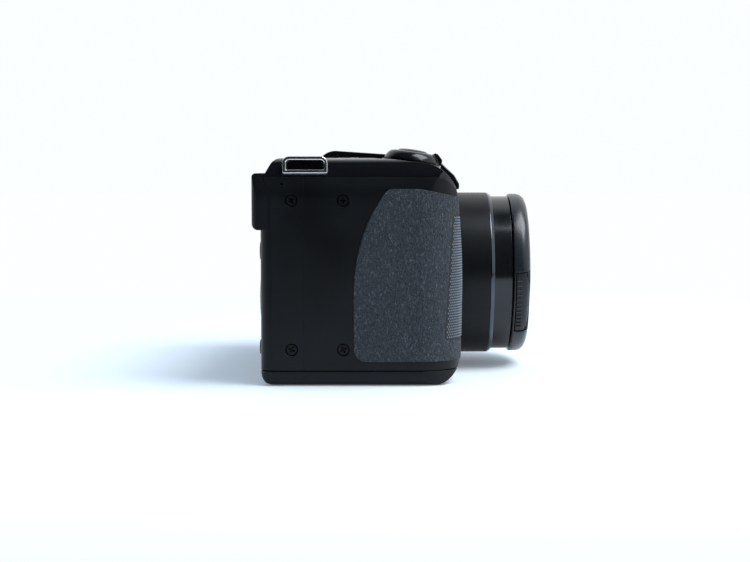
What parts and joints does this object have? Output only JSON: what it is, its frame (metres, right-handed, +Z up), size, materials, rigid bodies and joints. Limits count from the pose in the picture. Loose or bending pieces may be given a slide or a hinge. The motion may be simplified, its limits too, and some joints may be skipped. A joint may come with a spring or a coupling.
{
  "type": "bridge camera",
  "caption": "Bridge camera with a telescoping zoom lens, clip-on lens cap, pop-up flash, rubber battery grip, rear display and keys, and a tripod socket.",
  "frame": {"origin": "mouth of the tripod socket, on the resting face", "axes": "+X from the grip to the far end, lens along -Y, +Z up"},
  "size_m": [0.1113, 0.0936, 0.0766],
  "materials": {
    "matte_body": "fine matt texture",
    "gloss_cover": "polished black",
    "key_plastic": "satin",
    "grip_rubber": "leather grain",
    "inlay_rubber": "rows of small raised dots",
    "lens_black": "satin black",
    "trim_metal": "bright turned bevel",
    "bright_metal": "polished",
    "screw_metal": "black oxide",
    "steel": "plain",
    "contact_brass": "plain",
    "board": "solder mask",
    "cell_wrap": "plain wrap",
    "card_plastic": "plain",
    "motor_can": "plain",
    "capacitor_wrap": "shrunk sleeve",
    "speaker_black": "plain",
    "lens_glass": "coated",
    "display_glass": "dark clear window",
    "display_black": "panel",
    "flash_clear": "ribbed clear plastic"
  },
  "bodies": {
    "camera_body": {"front_shell": "matte_body", "rear_shell": "matte_body", "bottom_cover": "matte_body", "thumb_rest": "matte_body", "battery_holder": "matte_body", "flash_bay": "matte_body", "top_cover": "gloss_cover", "grip_rubber": "grip_rubber", "finger_inlay": "inlay_rubber", "lens_base_barrel": "lens_black", "lens_trim_ring": "trim_metal", "strap_eyelet_right": "bright_metal", "strap_eyelet_left": "bright_metal", "side_screws": "screw_metal", "bottom_screws": "screw_metal", "tripod_bush": "steel", "door_hinge_pin": "steel", "flash_hinge_pin": "steel", "port_hinge_pin": "steel", "chassis": "steel", "card_slot": "steel", "connector_sockets": "steel", "cell_contacts": "contact_brass", "main_board": "board", "sensor_board": "board", "key_board": "board", "top_switch_board": "board", "battery_cells": "cell_wrap", "memory_card": "card_plastic", "zoom_motor": "motor_can", "flash_capacitor": "capacitor_wrap", "speaker": "speaker_black", "rear_lens_group": "lens_glass", "display_window": "display_glass", "display_panel": "display_black", "focus_lamp_lens": "flash_clear"},
    "battery_door": {"battery_door": "matte_body", "door_contacts": "contact_brass"},
    "door_latch": {"door_latch": "gloss_cover"},
    "zoom_outer": {"zoom_barrel_outer": "lens_black"},
    "zoom_inner": {"zoom_barrel_inner": "lens_black", "front_ring": "lens_black", "front_glass": "lens_glass"},
    "lens_cap": {"lens_cap": "gloss_cover"},
    "cap_tab_right": {"cap_tab_right": "gloss_cover"},
    "cap_tab_left": {"cap_tab_left": "gloss_cover"},
    "shutter_button": {"shutter_button": "gloss_cover"},
    "zoom_lever": {"zoom_lever": "gloss_cover"},
    "power_button": {"power_button": "gloss_cover"},
    "flash_head": {"flash_head": "gloss_cover", "flash_window": "flash_clear", "flash_tube": "flash_clear"},
    "record_button": {"record_button": "key_plastic"},
    "scene_button": {"scene_button": "key_plastic"},
    "playback_button": {"playback_button": "key_plastic"},
    "menu_button": {"menu_button": "key_plastic"},
    "delete_button": {"delete_button": "key_plastic"},
    "selector_ring": {"selector_ring": "key_plastic"},
    "ok_button": {"ok_button": "key_plastic"},
    "connector_door": {"connector_door": "matte_body"}
  },
  "joints": [
    {"name": "battery_door_hinge", "type": "hinge", "parent": "camera_body", "child": "battery_door", "pos_m": [-0.0185, 0, 0.0017], "axis": [0, -1, 0], "range_deg": [0, 88]},
    {"name": "door_latch_slide", "type": "slide", "parent": "battery_door", "child": "door_latch", "axis": [0, 1, 0], "range_m": [0, 0.0025]},
    {"name": "zoom_extend", "type": "slide", "parent": "camera_body", "child": "zoom_outer", "axis": [0, -1, 0], "range_m": [0, 0.022]},
    {"name": "zoom_inner_extend", "type": "slide", "parent": "zoom_outer", "child": "zoom_inner", "axis": [0, -1, 0], "range_m": [0, 0.018]},
    {"name": "lens_cap_pull", "type": "slide", "parent": "zoom_inner", "child": "lens_cap", "axis": [0, -1, 0], "range_m": [0, 0.04]},
    {"name": "cap_tab_right_press", "type": "slide", "parent": "lens_cap", "child": "cap_tab_right", "axis": [0.9397, 0, 0.342], "range_m": [0, 0.0015], "stiffness_N_per_m": 1000},
    {"name": "cap_tab_left_press", "type": "slide", "parent": "lens_cap", "child": "cap_tab_left", "axis": [-0.9397, 0, -0.342], "range_m": [0, 0.0015], "stiffness_N_per_m": 1000},
    {"name": "shutter_press", "type": "slide", "parent": "camera_body", "child": "shutter_button", "axis": [0, 0.1392, -0.9903], "range_m": [0, 0.0008], "stiffness_N_per_m": 1800},
    {"name": "zoom_lever_turn", "type": "hinge", "parent": "camera_body", "child": "zoom_lever", "pos_m": [-0.043, -0.026, 0.0721], "axis": [0, -0.1392, 0.9903], "range_deg": [-22, 22], "stiffness_Nm_per_rad": 0.03},
    {"name": "power_press", "type": "slide", "parent": "camera_body", "child": "power_button", "axis": [0, 0, -1], "range_m": [0, 0.0005], "stiffness_N_per_m": 2500},
    {"name": "flash_popup", "type": "hinge", "parent": "camera_body", "child": "flash_head", "pos_m": [0, -0.0002, 0.0695], "axis": [-1, 0, 0], "range_deg": [0, 38]},
    {"name": "selector_tilt", "type": "hinge", "parent": "camera_body", "child": "selector_ring", "pos_m": [-0.043, 0.0215, 0.0275], "axis": [1, 0, 0], "range_deg": [-2.5, 2.5], "stiffness_Nm_per_rad": 0.1},
    {"name": "ok_press", "type": "slide", "parent": "camera_body", "child": "ok_button", "axis": [0, -1, 0], "range_m": [0, 0.0005], "stiffness_N_per_m": 2500},
    {"name": "connector_door_hinge", "type": "hinge", "parent": "camera_body", "child": "connector_door", "pos_m": [0.04705, -0.0111, 0.032], "axis": [0, 0, -1], "range_deg": [0, 95]},
    {"name": "record_press", "type": "slide", "parent": "camera_body", "child": "record_button", "axis": [0, -1, 0], "range_m": [0, 0.0005], "stiffness_N_per_m": 2500},
    {"name": "scene_press", "type": "slide", "parent": "camera_body", "child": "scene_button", "axis": [0, -1, 0], "range_m": [0, 0.0005], "stiffness_N_per_m": 2500},
    {"name": "playback_press", "type": "slide", "parent": "camera_body", "child": "playback_button", "axis": [0, -1, 0], "range_m": [0, 0.0005], "stiffness_N_per_m": 2500},
    {"name": "menu_press", "type": "slide", "parent": "camera_body", "child": "menu_button", "axis": [0, -1, 0], "range_m": [0, 0.0005], "stiffness_N_per_m": 2500},
    {"name": "delete_press", "type": "slide", "parent": "camera_body", "child": "delete_button", "axis": [0, -1, 0], "range_m": [0, 0.0005], "stiffness_N_per_m": 2500}
  ],
  "couplings": [
    {"joint": "zoom_inner_extend", "follows": "zoom_extend", "ratio": 0.81818}
  ]
}
